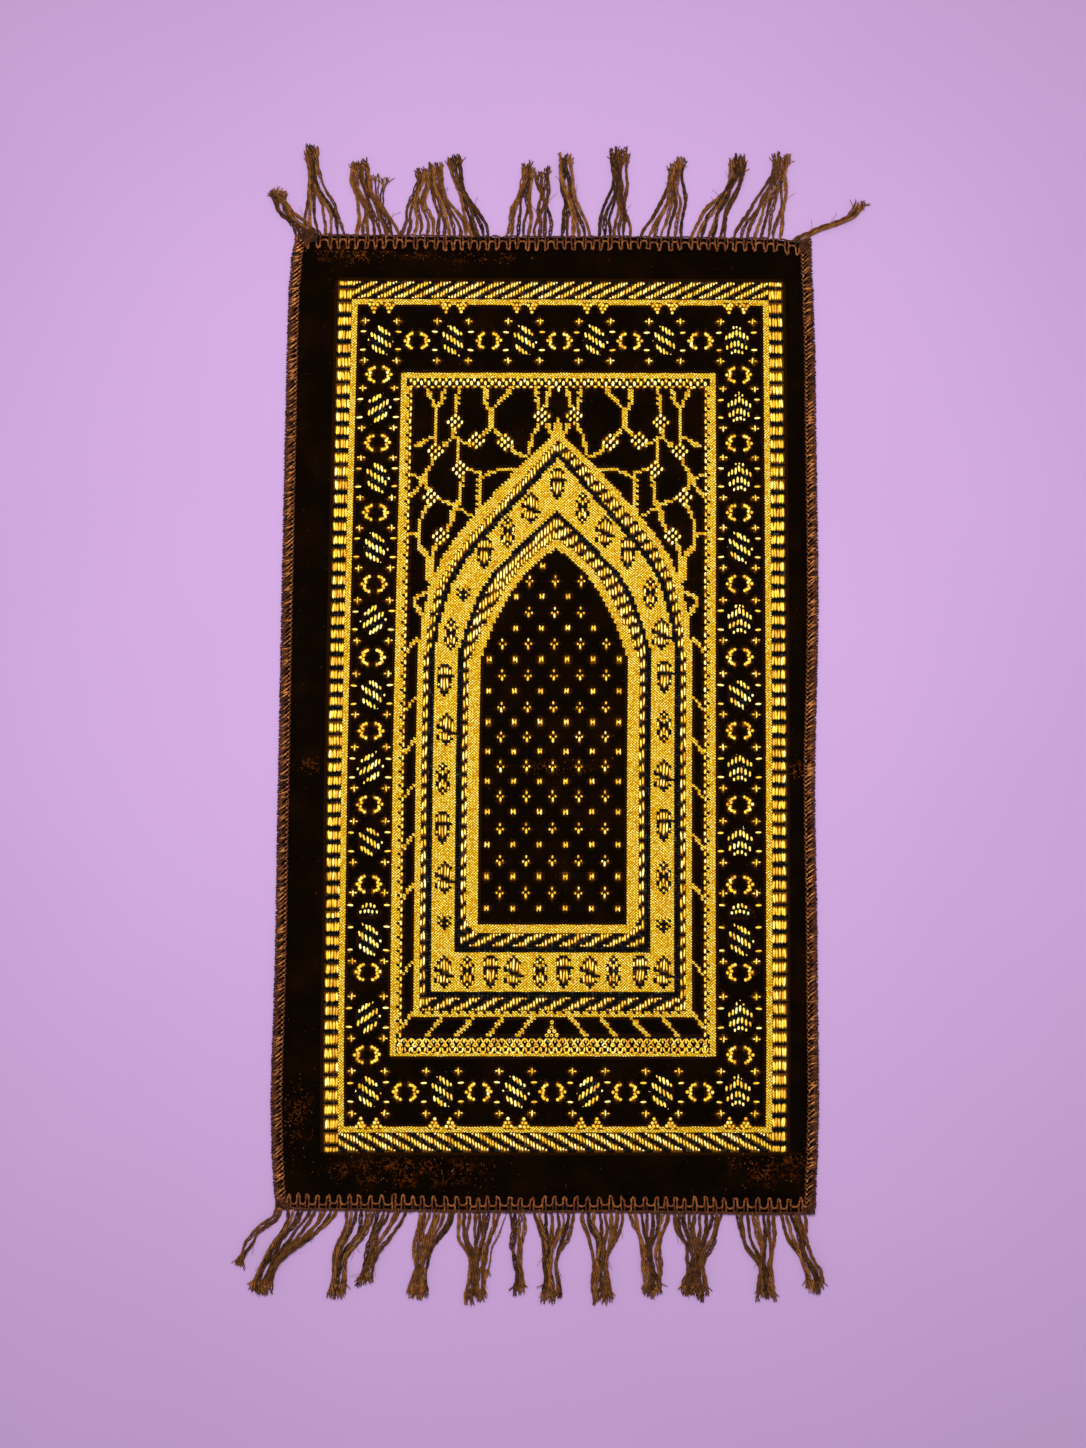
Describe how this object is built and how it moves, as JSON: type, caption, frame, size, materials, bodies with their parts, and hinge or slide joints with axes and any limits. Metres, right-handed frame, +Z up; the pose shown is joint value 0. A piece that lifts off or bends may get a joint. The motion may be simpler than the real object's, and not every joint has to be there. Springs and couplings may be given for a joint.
{
  "type": "prayer rug",
  "caption": "Flat velvet prayer rug with a gold arch pattern, overcast side edges, open end stitches and a gathered yarn fringe at both ends.",
  "frame": {"origin": "middle of the cloth's flat underside, on the floor", "axes": "+Z up from the floor, +Y along the rug towards the point of its arch, +X to the right seen from above"},
  "size_m": [0.6864, 1.3003, 0.0047],
  "materials": {
    "velvet": "near-black brown velvet pile",
    "gold_yarn": "glossy gold yarn woven into the velvet",
    "binding_yarn": "twisted brown yarn",
    "fringe_yarn": "loosely twisted brown yarn with frayed tips"
  },
  "bodies": {
    "root": {"pile_cloth": "velvet", "binding_left": "binding_yarn", "binding_right": "binding_yarn", "binding_top": "binding_yarn", "binding_bottom": "binding_yarn", "fringe_top": "fringe_yarn", "fringe_bottom": "fringe_yarn"}
  },
  "joints": []
}
